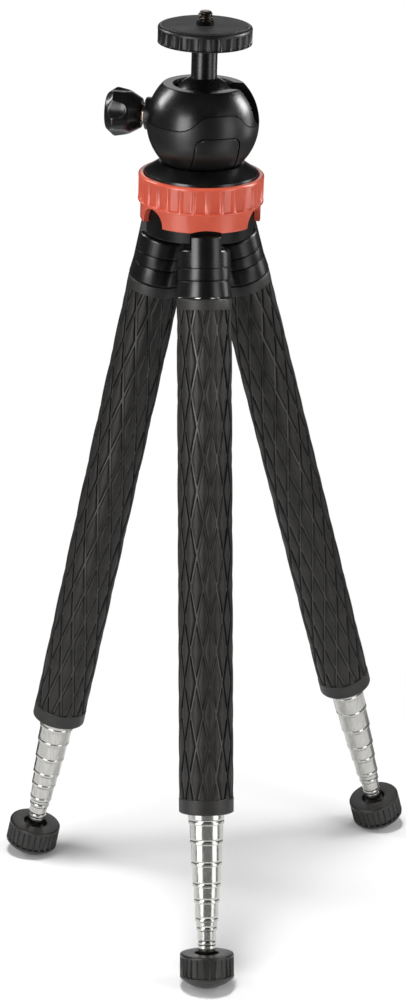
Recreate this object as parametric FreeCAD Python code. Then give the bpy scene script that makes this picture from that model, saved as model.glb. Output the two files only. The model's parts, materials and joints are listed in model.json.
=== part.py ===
"""Travel tripod with a small ball head and three hinged legs of eight telescoping tubes.

Millimetres and degrees, +Z up, the floor at z = 0. The front leg points towards -Y.
The origin lies on the floor below the middle of the box that the three feet span.
"""

import FreeCAD
import Part
import math
import os

# Gaps between pieces

slide_gap = 0.13            # one telescoping tube inside the next, on the radius
pin_gap = 0.05              # a pin, stud or screw in the hole it turns in, on the radius
fit_gap = 0.02              # pieces that are pressed or glued together, on the radius
turn_gap = 0.3              # pieces that turn past each other
seam_gap = 0.25             # open line between two mouldings
stop_gap = 0.2              # what a knuckle keeps from the ring at the leg's stop

# Helping sizes

past = 1.0                  # how far a cutter runs past what it cuts
same_point = 1e-6           # two points nearer than this are one
rib_land = 0.22             # narrow top of a rib, as a share of the step from rib to rib
rib_flat = 0.62             # flat between two ribs, as the same share

# Leg stance

leg_azimuths = {"front": 0.0, "right": 120.0, "left": -120.0}
leg_spreads = {"front": 15.5, "right": 17.9, "left": 11.4}  # each leg from the vertical, as it stands
leg_stop = 18.5             # widest spread that the ring's narrow setting allows
between_legs = 60.0         # from a leg to the middle between it and the next
pin_circle_radius = 14.0    # hinge pins about the head's axis
pin_radius = 2.0
pin_length = 26.0

# Knuckle at the top of a leg, measured down the leg from its pin

knuckle_radius = 11.2
knuckle_foot_radius = 11.8
knuckle_length = 31.0
shoulder_drop = 10.5
shoulder_round = 1.6
tongue_width = 12.6
tongue_eye_radius = 7.5
tongue_face_round = 1.2
knuckle_groove_drops = (18.4, 23.8)
knuckle_groove_width = 0.7
knuckle_groove_depth = 0.45
tube_seat_drop = 13.5       # where the outer tube ends inside the knuckle

# Grip and outer tube

grip_gap = 0.4
grip_length = 213.6
grip_radius = 11.35
band_length = 4.8
band_radius = 11.75
cap_length = 6.6
cap_radius = 11.8
cap_round = 0.6
outer_tube_radius = 7.73
tube_wall = 0.4
outer_tube_shows = 5.1      # bare tube below the cap

# Telescoping sections, from the widest to the narrowest

section_shows = (8.6, 9.5, 9.2, 7.0, 8.2, 4.0, 6.3)     # bare end of each on the front leg
section_travel = 75.0
section_overlap = 30.0      # what stays inside the tube around it when pulled out
lip_depth = 0.22            # rolled groove that keeps the next tube in
lip_width = 0.8
lip_rise = 1.5
end_plug_length = 8.0       # solid end of the last section

# Foot and the threaded stub that holds it

stub_radius = 2.5
stub_shows = 3.5
stub_grip = 6.0             # length of the stub inside its section and inside the foot
foot_radius = 11.7
foot_side_height = 10.5
foot_dome_height = 4.7
foot_round = 1.2
foot_well_radius = 5.2
foot_well_depth = 2.0
foot_ribs = 24
foot_rib_depth = 0.5
foot_flat = 0.3             # depth of the patch that is pressed flat on the floor

# Spreader ring, heights measured from the plane of the hinge pins

ring_skirt_drop = 1.2
ring_top = 18.7
ring_rib_bottom = 7.1
ring_radius = 26.8
ring_skirt_radius = 25.7
ring_bore_radius = 23.2
ring_lip_bore_radius = 20.6
ring_ribs = 28
ring_rib_depth = 0.55
ring_round = 0.9
shallow_arch_rise = 1.4
shallow_arch_width = 14.3
deep_arch_radius = 6.7
deep_arch_top = 6.2

# Hub that carries the hinge pins

hub_bottom_drop = 7.0
hub_step = 9.0              # ledge that the ring's lip runs on
hub_top = 16.3
hub_screw_circle = 13.5
hub_screw_radius = 1.5
hub_screw_head_radius = 2.8
hub_screw_head_height = 1.8
hub_screw_bite = 4.0

# Base plate and the stud that holds the head on it

plate_edge_radius = 24.3
plate_edge_height = 2.1
plate_ledge = 1.1           # how far the plate's top stands out round the housing
plate_height = 7.6
stud_radius = 3.0
stud_head_radius = 5.0
stud_head_height = 4.0
stud_bite = 5.0             # length of the stud inside the head

# Ball head, set as a whole at head_azimuth to the right of the front leg

head_azimuth = 74.0         # direction of the drop slot
housing_radius = 23.9
housing_centre = 16.9       # above the underside of the housing
housing_height = 33.4
housing_rim_round = 0.8
ball_radius = 14.2
ball_centre = 23.3          # above the underside of the housing
ball_gap = 0.25
mouth_radius = 12.4
neck_radius = 5.5
neck_reach = 27.8           # from the ball's centre to the underside of the camera wheel
slot_gap = 0.5              # neck to slot, on each side
cup_radius = 12.0
cup_floor = 2.2
cup_wall_rise = 7.0         # height of the friction cup

# Parting line of the housing, a wave that runs through from front to back

wave_azimuth = 29.0         # the wave's crest, where the drop slot is at 90
seam_height = 17.7          # above the underside of the housing
wave_height = 6.9
wave_crest_half_width = 7.5
wave_foot_half_width = 14.0
wave_bend = 9.0

# Inset panel low on the front of the housing

panel_azimuth = 27.0        # the panel's middle, where the drop slot is at 90
panel_width = 19.6
panel_height = 15.2
panel_round = 3.6
panel_depth = 1.6

# Locking knob, measured along its axis from the head's axis

lock_height = 19.0          # above the underside of the housing
lock_nut_radius = 7.0
lock_nut_face = 24.6
lock_nut_length = 5.0
lock_screw_radius = 2.5
lock_knob_start = 26.0
lock_knob_length = 16.2
lock_knob_radius = 10.6
lock_knob_waist_radius = 6.2
lock_knob_belly = 3.2       # how far the knob's side stands out beyond the waist near its inner end
lock_knob_belly_length = 5.5
lock_knob_widest = 11.6     # from the knob's inner end to its widest place
lock_knob_crown_radius = 7.4
lock_knob_crown = 1.0       # height of the shallow dome on the knob's outer end
lock_knob_round = 0.8
lock_knob_bite = 9.0        # length of the screw inside the knob
lock_scoops = 5
lock_scoop_radius = 7.0
lock_scoop_start = 8.0      # from the knob's inner end to the middle of a scoop's round end
lock_scoop_bite = 1.9
lock_insert_radius = 3.9
lock_insert_bite = 4.0
shoe_length = 3.2
shoe_gap = 0.1

# Camera wheel, its pad and the camera stud

wheel_radius = 20.0
wheel_height = 7.4
wheel_round = 1.1
wheel_ribs = 28
wheel_rib_depth = 0.45
pad_radius = 18.0
pad_recess = 0.6
pad_stands = 0.4            # how far the pad stands above the wheel's rim
camera_stud_radius = 3.175
camera_shank_radius = 3.0
camera_stud_shows = 5.8
camera_stud_bite = 12.0
camera_stud_chamfer = 0.8

# Places worked out from the sizes above

foot_height = foot_side_height + foot_dome_height
grip_start = knuckle_length + grip_gap
cap_start = grip_start + grip_length
cap_end = cap_start + cap_length
outer_tube_end = cap_end + outer_tube_shows
stub_start = outer_tube_end + sum(section_shows)
leg_length = stub_start + stub_shows + foot_height
foot_dome_radius = (foot_radius**2 + foot_dome_height**2) / (2 * foot_dome_height)
half_shallow = shallow_arch_width / 2
shallow_radius = (half_shallow**2 + shallow_arch_rise**2) / (2 * shallow_arch_rise)
arch_over_tongue = math.sqrt(shallow_radius**2 - (tongue_width / 2) ** 2) - shallow_radius
ring_over_tongue = shallow_arch_rise - ring_skirt_drop + arch_over_tongue
stop = math.radians(leg_stop)
tongue_face_drop = (knuckle_radius * math.sin(stop) + stop_gap - ring_over_tongue) / math.cos(stop)
plate_neck_radius = math.sqrt(housing_radius**2 - housing_centre**2) + plate_ledge
front_spread = math.radians(leg_spreads["front"])
dome_drop = (leg_length - foot_dome_radius) * math.cos(front_spread)
pin_height = dome_drop + foot_dome_radius - foot_flat
hub_radius = ring_bore_radius - turn_gap
hub_neck_radius = ring_lip_bore_radius - turn_gap
hub_floor = pin_height + hub_top
housing_floor = hub_floor + plate_height
ball_height = housing_floor + ball_centre
lock_axis_height = housing_floor + lock_height
wheel_floor = ball_height + neck_reach
wheel_top = wheel_floor + wheel_height
pad_top = wheel_top + pad_stands
slot_half_width = neck_radius + slot_gap
cup_pocket_floor = ball_height - ball_radius - cup_floor
cup_pocket_radius = cup_radius + turn_gap
stud_top = housing_floor + stud_bite


def dome_reach(leg):
    """Distance down a leg from its pin to the centre of its foot's dome, with the foot on the floor."""
    return dome_drop / math.cos(math.radians(leg_spreads[leg]))


def pull(leg):
    """How far a leg's sections show, as a share of what the front leg's show."""
    bare = dome_reach(leg) + foot_dome_radius - foot_height - stub_shows - outer_tube_end
    return bare / sum(section_shows)


def foot_place(leg):
    """Where a leg stands on the floor, measured from the head's axis."""
    out = pin_circle_radius + dome_reach(leg) * math.sin(math.radians(leg_spreads[leg]))
    azimuth = math.radians(leg_azimuths[leg])
    return out * math.sin(azimuth), -out * math.cos(azimuth)


foot_xs, foot_ys = zip(*[foot_place(leg) for leg in leg_azimuths])
axis_x = -(min(foot_xs) + max(foot_xs)) / 2
axis_y = -(min(foot_ys) + max(foot_ys)) / 2

UP = FreeCAD.Vector(0, 0, 1)
ALONG_X = FreeCAD.Vector(1, 0, 0)
ALONG_Y = FreeCAD.Vector(0, 1, 0)
ORIGIN = FreeCAD.Vector(0, 0, 0)


def outline_edges(corners):
    """Straight edges through (a, b) corners, with an arc at each corner that gives a radius."""
    points = [FreeCAD.Vector(corner[0], 0, corner[1]) for corner in corners]
    starts = []
    ends = []
    edges = []
    for i, corner in enumerate(corners):
        here = points[i]
        back = points[i - 1] - here
        ahead = points[(i + 1) % len(points)] - here
        radius = corner[2] if len(corner) > 2 else 0
        if radius == 0:
            starts.append(here)
            ends.append(here)
            continue
        half_turn = back.getAngle(ahead) / 2
        reach = radius / math.tan(half_turn)
        back.normalize()
        ahead.normalize()
        start = here + back * reach
        end = here + ahead * reach
        middle_way = back + ahead
        middle_way.normalize()
        middle = here + middle_way * (radius / math.sin(half_turn) - radius)
        edges.append(Part.Arc(start, middle, end).toShape())
        starts.append(start)
        ends.append(end)
    for i, end in enumerate(ends):
        start = starts[(i + 1) % len(starts)]
        if (start - end).Length > same_point:
            edges.append(Part.LineSegment(end, start).toShape())
    return edges


def outline_face(corners):
    """Flat face in the XZ plane inside an outline of (x, z) or (x, z, radius) corners."""
    return Part.Face(Part.Wire(Part.__sortEdges__(outline_edges(corners))))


def turned(corners):
    """Solid of revolution about Z from an outline of (radius, height) corners."""
    return outline_face(corners).revolve(ORIGIN, UP, 360)


def rod(radius, bottom, top):
    """Upright cylinder on the Z axis."""
    return Part.makeCylinder(radius, top - bottom, FreeCAD.Vector(0, 0, bottom))


def cross_rod(radius, length, direction, centre):
    """Cylinder that lies along a direction with its middle at a centre."""
    start = centre - direction * (length / 2)
    return Part.makeCylinder(radius, length, start, direction)


def block(x_size, y_low, y_high, z_low, z_high):
    """Box that is centred on x = 0."""
    corner = FreeCAD.Vector(-x_size / 2, y_low, z_low)
    return Part.makeBox(x_size, y_high - y_low, z_high - z_low, corner)


def ribbed_prism(radius, depth, count, bottom, top):
    """Prism with narrow ribs round its edge, a flat between each two."""
    step = 2 * math.pi / count
    points = []
    land = rib_land / 2
    flat_start = (1 - rib_flat) / 2
    inner = radius - depth
    corners = ((-land, radius), (land, radius), (flat_start, inner), (1 - flat_start, inner))
    for rib in range(count):
        for share, out in corners:
            angle = (rib + share) * step
            points.append(FreeCAD.Vector(out * math.cos(angle), out * math.sin(angle), bottom))
    points.append(points[0])
    return Part.Face(Part.makePolygon(points)).extrude(UP * (top - bottom))


def about_axis(shape, angle):
    """The shape turned about the head's axis, counter-clockwise from above."""
    turned_shape = shape.copy()
    turned_shape.rotate(ORIGIN, UP, angle)
    return turned_shape


def each_leg(shape, offset=0.0):
    """One copy of a shape made for the front leg at each leg, as one compound."""
    copies = [about_axis(shape, azimuth + offset) for azimuth in leg_azimuths.values()]
    return Part.makeCompound(copies)


def on_leg(shape, leg):
    """A piece made with its leg's pin at the origin and the leg along -Z, put in its place."""
    placed = shape.copy()
    placed.rotate(ORIGIN, ALONG_X, -leg_spreads[leg])
    placed.translate(FreeCAD.Vector(0, -pin_circle_radius, pin_height))
    placed.rotate(ORIGIN, UP, leg_azimuths[leg])
    return placed


def on_head(shape):
    """A piece made with the drop slot towards +X, turned to where the head is set."""
    return about_axis(shape, head_azimuth - 90)


def on_lock_axis(shape):
    """A piece made along +Z from the head's axis, laid along the knob's axis towards -X."""
    placed = shape.copy()
    placed.rotate(ORIGIN, ALONG_Y, -90)
    placed.translate(FreeCAD.Vector(0, 0, lock_axis_height))
    return placed


# Legs

def knuckle():
    """Tongue that hangs on the hinge pin, and the collar that holds the outer tube."""
    top = -shoulder_drop
    bottom = -knuckle_length
    corners = [(0, top), (knuckle_radius, top, shoulder_round)]
    groove_in = knuckle_radius - knuckle_groove_depth
    for drop in knuckle_groove_drops:
        corners.append((knuckle_radius, -drop + knuckle_groove_width / 2))
        corners.append((groove_in, -drop))
        corners.append((knuckle_radius, -drop - knuckle_groove_width / 2))
    corners += [(knuckle_foot_radius, bottom, knuckle_groove_depth), (0, bottom)]
    collar = turned(corners)
    face_top = -tongue_face_drop
    tongue = turned([
        (0, face_top),
        (knuckle_radius, face_top, tongue_face_round),
        (knuckle_radius, -knuckle_groove_drops[0]),
        (0, -knuckle_groove_drops[0]),
    ])
    front_half = block(tongue_width, -knuckle_radius, 0, -knuckle_length, 0)
    tongue = tongue.common(front_half)
    eye = cross_rod(tongue_eye_radius, tongue_width, ALONG_X, ORIGIN)
    web = block(tongue_width, -tongue_eye_radius, tongue_eye_radius, top - shoulder_round, 0)
    web = web.common(rod(knuckle_radius, -knuckle_length, 0))
    body = collar.fuse([tongue, eye, web])
    body = body.cut(cross_rod(pin_radius + pin_gap, 2 * tongue_width, ALONG_X, ORIGIN))
    tube_seat = rod(outer_tube_radius + fit_gap, bottom - past, -tube_seat_drop)
    return body.cut(tube_seat).removeSplitter()


def outer_tube():
    """Tube under the grip, seated in the knuckle, with the sections inside it."""
    return tube(outer_tube_radius, -tube_seat_drop, -outer_tube_end)


def tube(radius, top, bottom):
    """Thin tube with a rolled groove near its lower end."""
    bore = radius - tube_wall
    lip = bottom + lip_rise
    return turned([
        (bore, top),
        (radius, top),
        (radius, lip + lip_width),
        (radius - lip_depth, lip + lip_width / 2),
        (radius, lip),
        (radius, bottom + lip_depth),
        (radius - lip_depth, bottom),
        (bore, bottom),
    ])


def grip():
    """Rubber sleeve on the outer tube, with a smooth band at its top."""
    bore = outer_tube_radius + fit_gap
    top = -grip_start
    bottom = -cap_start
    return turned([
        (bore, top),
        (band_radius, top, cap_round),
        (band_radius, top - band_length, (band_radius - grip_radius) / 2),
        (grip_radius, top - band_length),
        (grip_radius, bottom),
        (bore, bottom),
    ])


def end_cap():
    """Smooth ring that closes the lower end of the grip."""
    bore = outer_tube_radius + fit_gap
    return turned([
        (bore, -cap_start),
        (cap_radius, -cap_start, cap_round),
        (cap_radius, -cap_end, cap_round),
        (bore, -cap_end),
    ])


def section_radius(number):
    """Outer radius of a section, counted from 1 at the widest."""
    return outer_tube_radius - number * (tube_wall + slide_gap)


def section_end(number, leg):
    """How far down its leg a section ends."""
    return outer_tube_end + sum(section_shows[:number]) * pull(leg)


def section(number, leg):
    """One sliding section: a tube, or for the last one a tube with a solid end for the stub."""
    bottom = -section_end(number, leg)
    shows = section_end(number, leg) - section_end(number - 1, leg)
    body = tube(section_radius(number), bottom + shows + section_travel + section_overlap, bottom)
    if number < len(section_shows):
        return body
    plug = rod(section_radius(number) - tube_wall, bottom, bottom + end_plug_length)
    hole = rod(stub_radius + fit_gap, bottom, bottom + stub_grip)
    return body.fuse(plug).cut(hole).removeSplitter()


def foot_stub(leg):
    """Threaded stub between the last section and the foot, drawn without its thread."""
    end = -section_end(len(section_shows), leg)
    return rod(stub_radius, end - stub_shows - foot_well_depth - stub_grip, end + stub_grip)


def foot(leg):
    """Ribbed rubber foot with a domed underside, in its place, pressed flat on the floor."""
    top = -section_end(len(section_shows), leg) - stub_shows
    bottom = top - foot_height
    hole = stub_radius + pin_gap
    hole_bottom = top - foot_well_depth - stub_grip
    ribbed = ribbed_prism(foot_radius, foot_rib_depth, foot_ribs, bottom, top)
    envelope = turned([
        (0, bottom),
        (foot_radius, bottom),
        (foot_radius, top, foot_round),
        (foot_well_radius, top),
        (foot_well_radius, top - foot_well_depth),
        (hole, top - foot_well_depth),
        (hole, hole_bottom),
        (0, hole_bottom),
    ])
    dome = Part.makeSphere(foot_dome_radius, FreeCAD.Vector(0, 0, -dome_reach(leg)))
    dome = dome.fuse(rod(foot_radius + past, top - foot_side_height, top + past))
    body = on_leg(ribbed.common(envelope).common(dome), leg)
    reach = 2 * leg_length
    above_floor = Part.makeBox(2 * reach, 2 * reach, pin_height, FreeCAD.Vector(-reach, -reach, 0))
    return body.common(above_floor)


def make_legs():
    """Every piece of the three legs, under its node's name."""
    pieces = {"knuckle": knuckle(), "outer_tube": outer_tube(), "grip": grip(), "end_cap": end_cap()}
    nodes = {}
    for leg in leg_azimuths:
        for name, shape in pieces.items():
            nodes[leg + "_" + name] = on_leg(shape, leg)
        for number in range(1, len(section_shows) + 1):
            nodes["%s_section_%d" % (leg, number)] = on_leg(section(number, leg), leg)
        nodes[leg + "_foot_stub"] = on_leg(foot_stub(leg), leg)
        nodes[leg + "_foot"] = foot(leg)
    return nodes


# Hub, ring and base plate

def hinge_pins():
    """The three pins that the legs swing on."""
    centre = FreeCAD.Vector(0, -pin_circle_radius, pin_height)
    return each_leg(cross_rod(pin_radius, pin_length, ALONG_X, centre))


def leg_hub():
    """Hub with a slot for each knuckle's tongue, a ledge for the ring and holes for the screws."""
    bottom = pin_height - hub_bottom_drop
    step = pin_height + hub_step
    body = turned([
        (0, bottom),
        (hub_radius, bottom, cap_round),
        (hub_radius, step),
        (hub_neck_radius, step),
        (hub_neck_radius, hub_floor),
        (0, hub_floor),
    ])
    swing = tongue_eye_radius + turn_gap
    width = tongue_width + 2 * turn_gap
    pin_centre = FreeCAD.Vector(0, -pin_circle_radius, pin_height)
    eye_room = cross_rod(swing, width, ALONG_X, pin_centre)
    inner_wall = -(pin_circle_radius - swing)
    outer = -hub_radius - past
    under_room = block(width, outer, inner_wall, bottom - past, pin_height)
    face_room = block(width, outer, -pin_circle_radius, bottom - past, pin_height + swing)
    slots = each_leg(eye_room.fuse([under_room, face_room]))
    pin_holes = each_leg(cross_rod(pin_radius + fit_gap, pin_length + 2 * turn_gap, ALONG_X, pin_centre))
    stud_hole = rod(stud_radius + fit_gap, bottom, hub_floor)
    head_room = rod(stud_head_radius + fit_gap, bottom, hub_floor - stud_head_height)
    body = body.cut([slots, pin_holes, stud_hole, head_room])
    return body.cut([plate_screw_room()]).removeSplitter()


def plate_screw_room():
    """Holes and head recesses for the screws that hold the base plate."""
    bottom = pin_height - hub_bottom_drop
    head_top = hub_floor - hub_screw_bite
    shank = rod(hub_screw_radius + fit_gap, bottom, hub_floor)
    head = rod(hub_screw_head_radius + fit_gap, bottom - past, head_top)
    room = shank.fuse(head)
    room.translate(FreeCAD.Vector(0, -hub_screw_circle, 0))
    return each_leg(room, between_legs)


def plate_screws():
    """Three screws that go up through the hub, between the legs, into the base plate."""
    head_top = hub_floor - hub_screw_bite
    shank = rod(hub_screw_radius, head_top, hub_floor + hub_screw_bite)
    head = rod(hub_screw_head_radius, head_top - hub_screw_head_height, head_top)
    screw = shank.fuse(head).removeSplitter()
    screw.translate(FreeCAD.Vector(0, -hub_screw_circle, 0))
    return each_leg(screw, between_legs)


def base_plate():
    """Flared plate that keeps the ring down and carries the ball head."""
    edge_top = hub_floor + plate_edge_height
    body = turned([
        (0, hub_floor),
        (plate_edge_radius, hub_floor, turn_gap),
        (plate_edge_radius, edge_top, turn_gap),
        (plate_neck_radius, housing_floor - turn_gap, turn_gap),
        (0, housing_floor - turn_gap),
    ])
    screw_hole = rod(hub_screw_radius + fit_gap, hub_floor, hub_floor + hub_screw_bite + fit_gap)
    screw_hole.translate(FreeCAD.Vector(0, -hub_screw_circle, 0))
    stud_hole = rod(stud_radius + fit_gap, hub_floor, housing_floor)
    return body.cut([each_leg(screw_hole, between_legs), stud_hole])


def head_stud():
    """Stud up through the hub and the plate that the ball head turns on."""
    shank = rod(stud_radius, hub_floor - stud_head_height, stud_top)
    head = rod(stud_head_radius, hub_floor - 2 * stud_head_height, hub_floor - stud_head_height)
    return shank.fuse(head).removeSplitter()


def arch_cutter(radius, top, half_width):
    """Radial cutter with a round top for one arch of the ring, made at the front."""
    centre_height = top - radius
    reach = FreeCAD.Vector(0, -ring_radius, centre_height)
    cutter = cross_rod(radius, 2 * ring_radius, ALONG_Y, reach)
    skirt_bottom = pin_height - ring_skirt_drop
    lowest = skirt_bottom - past
    sides = block(2 * half_width, -2 * ring_radius, 0, lowest, max(centre_height, skirt_bottom))
    below = block(2 * half_width, -2 * ring_radius, 0, lowest, top)
    return cutter.common(below).fuse(sides)


def spreader_ring():
    """Ribbed ring whose shallow and deep arches set how far the legs spread."""
    bottom = pin_height - ring_skirt_drop
    rib_bottom = pin_height + ring_rib_bottom
    top = pin_height + ring_top
    lip_bottom = pin_height + hub_step + turn_gap
    lip_top = hub_floor - turn_gap
    recess = plate_edge_radius + turn_gap
    body = turned([
        (ring_bore_radius, bottom),
        (ring_skirt_radius, bottom, turn_gap),
        (ring_skirt_radius, rib_bottom),
        (ring_radius, rib_bottom, turn_gap),
        (ring_radius, top, ring_round),
        (recess, top),
        (recess, lip_top),
        (ring_lip_bore_radius, lip_top),
        (ring_lip_bore_radius, lip_bottom),
        (ring_bore_radius, lip_bottom),
    ])
    ribs = ribbed_prism(ring_radius, ring_rib_depth, ring_ribs, rib_bottom, top)
    skirt = rod(ring_skirt_radius, bottom, rib_bottom)
    body = body.common(ribs.fuse(skirt))
    shallow = arch_cutter(shallow_radius, bottom + shallow_arch_rise, half_shallow)
    deep = arch_cutter(deep_arch_radius, pin_height + deep_arch_top, deep_arch_radius)
    return body.cut([each_leg(shallow), each_leg(deep, between_legs)]).removeSplitter()


# Ball head, made with its drop slot towards +X

def housing_shell():
    """The whole housing before it is parted: a cut-off sphere with the ball's room and the slot."""
    top = housing_floor + housing_height
    sphere = Part.makeSphere(housing_radius, FreeCAD.Vector(0, 0, housing_floor + housing_centre))
    body = sphere.common(rod(housing_radius + past, housing_floor, top))
    rim = [edge for edge in body.Edges if edge.BoundBox.ZMin > top - fit_gap]
    body = body.makeFillet(housing_rim_round, rim)
    socket = Part.makeSphere(ball_radius + ball_gap, FreeCAD.Vector(0, 0, ball_height))
    mouth = turned([
        (0, ball_height),
        (mouth_radius, ball_height),
        (mouth_radius, top - housing_rim_round),
        (mouth_radius + housing_rim_round, top),
        (mouth_radius + housing_rim_round, top + past),
        (0, top + past),
    ])
    pocket = rod(cup_pocket_radius, cup_pocket_floor, cup_pocket_floor + cup_wall_rise + turn_gap)
    stud_hole = rod(stud_radius + pin_gap, housing_floor - past, stud_top + turn_gap)
    ball_middle = FreeCAD.Vector(0, 0, ball_height)
    slot_end = Part.makeCylinder(slot_half_width, housing_radius, ball_middle, ALONG_X)
    slot_corner = ball_middle - ALONG_Y * slot_half_width
    slot_sides = Part.makeBox(housing_radius, 2 * slot_half_width, housing_height, slot_corner)
    return body.cut([socket, mouth, pocket, stud_hole, slot_end, slot_sides])


def below_seam(lift):
    """Everything below the wave of the parting line, raised by a lift."""
    low = housing_floor + seam_height + lift
    high = low + wave_height
    side = 2 * housing_radius
    face = outline_face([
        (-side, housing_floor - past),
        (-side, low),
        (-wave_foot_half_width, low, wave_bend),
        (-wave_crest_half_width, high, wave_bend),
        (wave_crest_half_width, high, wave_bend),
        (wave_foot_half_width, low, wave_bend),
        (side, low),
        (side, housing_floor - past),
    ])
    face.translate(ALONG_Y * -side)
    return about_axis(face.extrude(ALONG_Y * (2 * side)), wave_azimuth)


def lock_room():
    """Room across the parting line for the lock nut, its screw and the shoe."""
    flange = rod(lock_nut_radius + fit_gap, lock_nut_face - lock_nut_length, 2 * housing_radius)
    bore = rod(lock_screw_radius + pin_gap, 0, 2 * housing_radius)
    return on_lock_axis(flange.fuse(bore))


def panel_block(grow):
    """Upright block with rounded upper corners that outlines the inset panel, grown by a gap."""
    half = panel_width / 2 + grow
    top = housing_floor + panel_height + grow
    face = outline_face([
        (-half, housing_floor),
        (-half, top, panel_round + grow),
        (half, top, panel_round + grow),
        (half, housing_floor),
    ])
    return about_axis(face.extrude(ALONG_Y * (-2 * housing_radius)), panel_azimuth)


def panel_core(grow):
    """Sphere under the inset panel, smaller by a gap."""
    centre = FreeCAD.Vector(0, 0, housing_floor + housing_centre)
    return Part.makeSphere(housing_radius - panel_depth - grow, centre)


def upper_housing():
    """Upper half of the housing, with the mouth and the drop slot."""
    return on_head(housing_shell().cut([below_seam(seam_gap), lock_room()]))


def lower_housing():
    """Lower half of the housing, with the cup's pocket and the recess for the panel."""
    body = housing_shell().common(below_seam(0)).cut(lock_room())
    recess = panel_block(seam_gap).cut(panel_core(fit_gap))
    return on_head(body.cut(recess))


def front_panel():
    """Curved panel set into the lower front of the housing."""
    sphere = Part.makeSphere(housing_radius, FreeCAD.Vector(0, 0, housing_floor + housing_centre))
    return on_head(panel_block(0).common(sphere).cut(panel_core(0)))


def ball_cup():
    """Friction cup under the ball."""
    top = cup_pocket_floor + cup_wall_rise
    body = rod(cup_radius, cup_pocket_floor + pin_gap, top)
    return on_head(body.cut(Part.makeSphere(ball_radius + pin_gap, FreeCAD.Vector(0, 0, ball_height))))


def ball_stem():
    """Ball with its neck, bored at the top for the camera stud."""
    ball = Part.makeSphere(ball_radius, FreeCAD.Vector(0, 0, ball_height))
    neck = rod(neck_radius, ball_height, wheel_floor - pin_gap)
    stud_hole = rod(camera_shank_radius + fit_gap, wheel_floor - camera_stud_bite, wheel_floor + past)
    return on_head(ball.fuse(neck).cut(stud_hole))


# Locking knob

def lock_nut():
    """Flat round nut that shows as the boss on the housing's side."""
    back = lock_nut_face - lock_nut_length
    body = turned([
        (lock_screw_radius + pin_gap, back),
        (lock_nut_radius, back),
        (lock_nut_radius, lock_nut_face, lock_knob_round),
        (lock_screw_radius + pin_gap, lock_nut_face),
    ])
    return on_head(on_lock_axis(body))


def lock_shoe():
    """Nylon plug that the screw presses against the ball."""
    body = on_lock_axis(rod(lock_screw_radius, 0, ball_radius + shoe_length))
    ball_room = Part.makeSphere(ball_radius + shoe_gap, FreeCAD.Vector(0, 0, ball_height))
    return on_head(body.cut(ball_room))


def lock_screw():
    """Screw moulded into the knob, drawn without its thread."""
    start = ball_radius + shoe_length + pin_gap
    return on_head(on_lock_axis(rod(lock_screw_radius, start, lock_knob_start + lock_knob_bite)))


def knob_insert():
    """Brass bush between the knob and the lock nut."""
    start = lock_nut_face + turn_gap
    body = rod(lock_insert_radius, start, lock_knob_start + lock_insert_bite)
    return on_head(on_lock_axis(body.cut(rod(lock_screw_radius + fit_gap, 0, 2 * lock_knob_start))))


def lock_knob():
    """Flared knob with rounded scoops round its side."""
    start = lock_knob_start
    end = start + lock_knob_length
    body = turned([
        (0, start),
        (lock_knob_waist_radius, start, lock_knob_round),
        (lock_knob_waist_radius + lock_knob_belly, start + lock_knob_belly_length, 2 * lock_knob_belly),
        (lock_knob_radius, start + lock_knob_widest, lock_knob_round),
        (lock_knob_crown_radius, end - lock_knob_crown, lock_knob_crown),
        (0, end),
    ])
    reach = lock_knob_radius + lock_scoop_radius - lock_scoop_bite
    scoop_start = start + lock_scoop_start
    scoop = Part.makeSphere(lock_scoop_radius, FreeCAD.Vector(0, 0, scoop_start))
    scoop = scoop.fuse(rod(lock_scoop_radius, scoop_start, end + past)).removeSplitter()
    scoop.translate(ALONG_X * reach)
    scoops = [about_axis(scoop, 360 * turn / lock_scoops) for turn in range(lock_scoops)]
    insert_room = rod(lock_insert_radius + fit_gap, 0, start + lock_insert_bite)
    screw_room = rod(lock_screw_radius + fit_gap, 0, start + lock_knob_bite)
    return on_head(on_lock_axis(body.cut(scoops + [insert_room, screw_room])))


# Camera wheel

def camera_wheel():
    """Ribbed wheel under the camera, recessed for its pad."""
    bore = camera_shank_radius + pin_gap
    body = turned([
        (bore, wheel_floor),
        (wheel_radius, wheel_floor, wheel_round),
        (wheel_radius, wheel_top, wheel_round),
        (pad_radius + seam_gap, wheel_top),
        (pad_radius + seam_gap, wheel_top - pad_recess),
        (bore, wheel_top - pad_recess),
    ])
    ribs = ribbed_prism(wheel_radius, wheel_rib_depth, wheel_ribs, wheel_floor, wheel_top)
    return on_head(body.common(ribs))


def wheel_pad():
    """Thin pad that the camera rests on."""
    bore = camera_stud_radius + turn_gap
    return on_head(turned([
        (bore, wheel_top - pad_recess),
        (pad_radius, wheel_top - pad_recess),
        (pad_radius, pad_top, pad_stands),
        (bore, pad_top),
    ]))


def camera_stud():
    """Quarter-inch camera stud, drawn without its thread."""
    top = pad_top + camera_stud_shows
    return on_head(turned([
        (0, wheel_floor - camera_stud_bite),
        (camera_shank_radius, wheel_floor - camera_stud_bite),
        (camera_shank_radius, pad_top),
        (camera_stud_radius, pad_top),
        (camera_stud_radius, top - camera_stud_chamfer),
        (camera_stud_radius - camera_stud_chamfer, top),
        (0, top),
    ]))


def make_head():
    """Every piece from the hub up to the camera stud, under its node's name."""
    makers = [
        hinge_pins, leg_hub, plate_screws, base_plate, head_stud, spreader_ring,
        upper_housing, lower_housing, front_panel, ball_cup, ball_stem,
        lock_nut, lock_shoe, lock_screw, knob_insert, lock_knob,
        camera_wheel, wheel_pad, camera_stud,
    ]
    return {maker.__name__: maker() for maker in makers}


def main():
    """Build every node, move the origin under the feet and write one file per node."""
    os.makedirs("parts", exist_ok=True)
    nodes = make_legs()
    nodes.update(make_head())
    for name, shape in nodes.items():
        placed = shape.copy()
        placed.translate(FreeCAD.Vector(axis_x, axis_y, 0))
        placed.exportStep("parts/" + name + ".step")
        print(name, len(placed.Solids), placed.isValid(), round(placed.Volume, 1))


main()
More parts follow.
